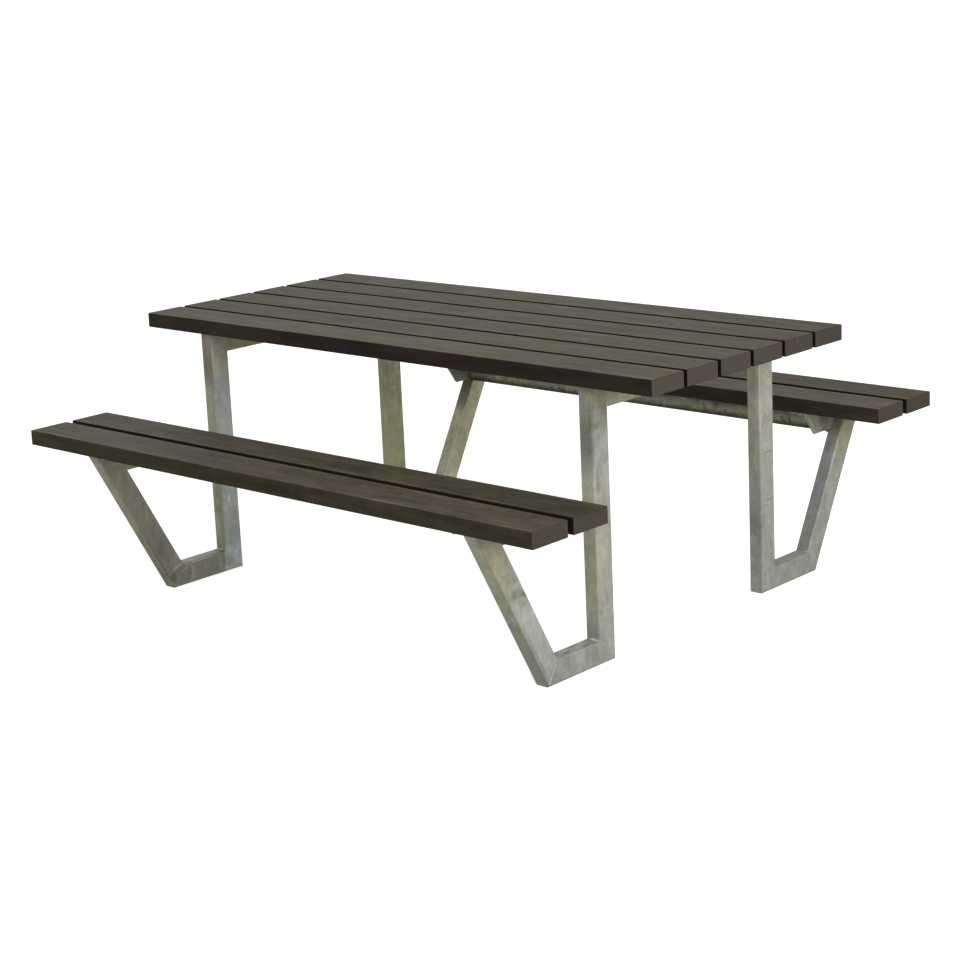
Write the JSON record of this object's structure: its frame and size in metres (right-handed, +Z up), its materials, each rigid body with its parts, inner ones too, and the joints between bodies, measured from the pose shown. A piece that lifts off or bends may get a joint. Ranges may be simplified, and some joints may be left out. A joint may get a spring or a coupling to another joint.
{
  "type": "picnic table",
  "caption": "Picnic table with a slatted top and two attached slatted benches on welded galvanised tube end frames with splayed bench supports.",
  "frame": {"origin": "on the ground, under the middle of the table top", "axes": "+X along the boards, +Y from the front bench to the rear bench, +Z up; the pipe is under the rear bench"},
  "size_m": [1.77, 1.612, 0.715],
  "materials": {
    "table_boards": "dark grey-brown wood-plastic composite board, matt, brushed lengthwise, arrises eased",
    "bench_boards": "dark brown wood-plastic composite board, matt, brushed lengthwise, arrises eased",
    "galvanised_frame": "hot-dip galvanised tube, dull weathered zinc with faint spangle and runs, welds dressed",
    "galvanised_pipes": "hot-dip galvanised pipe and flat bar, dull zinc",
    "fasteners": "zinc-plated hex-head screws and flat washers"
  },
  "bodies": {
    "root": {"bench_angle_screws": "fasteners", "bench_bar_screws": "fasteners", "bench_washers": "fasteners", "front_bench_cross_bars": "galvanised_pipes", "front_bench_inner_board": "bench_boards", "front_bench_outer_board": "bench_boards", "left_front_diagonal": "galvanised_frame", "left_front_foot": "galvanised_frame", "left_front_leg": "galvanised_frame", "left_front_seat_angle": "galvanised_frame", "left_rear_diagonal": "galvanised_frame", "left_rear_foot": "galvanised_frame", "left_rear_leg": "galvanised_frame", "left_rear_seat_angle": "galvanised_frame", "left_top_bearer": "galvanised_frame", "rear_bench_cross_bars": "galvanised_pipes", "rear_bench_inner_board": "bench_boards", "rear_bench_outer_board": "bench_boards", "rear_bench_pipe": "galvanised_pipes", "right_front_diagonal": "galvanised_frame", "right_front_foot": "galvanised_frame", "right_front_leg": "galvanised_frame", "right_front_seat_angle": "galvanised_frame", "right_rear_diagonal": "galvanised_frame", "right_rear_foot": "galvanised_frame", "right_rear_leg": "galvanised_frame", "right_rear_seat_angle": "galvanised_frame", "right_top_bearer": "galvanised_frame", "table_bar_screws": "fasteners", "table_bearer_screws": "fasteners", "table_board_1": "table_boards", "table_board_2": "table_boards", "table_board_3": "table_boards", "table_board_4": "table_boards", "table_board_5": "table_boards", "table_board_6": "table_boards", "table_cross_bars": "galvanised_pipes", "table_washers": "fasteners"}
  },
  "joints": []
}
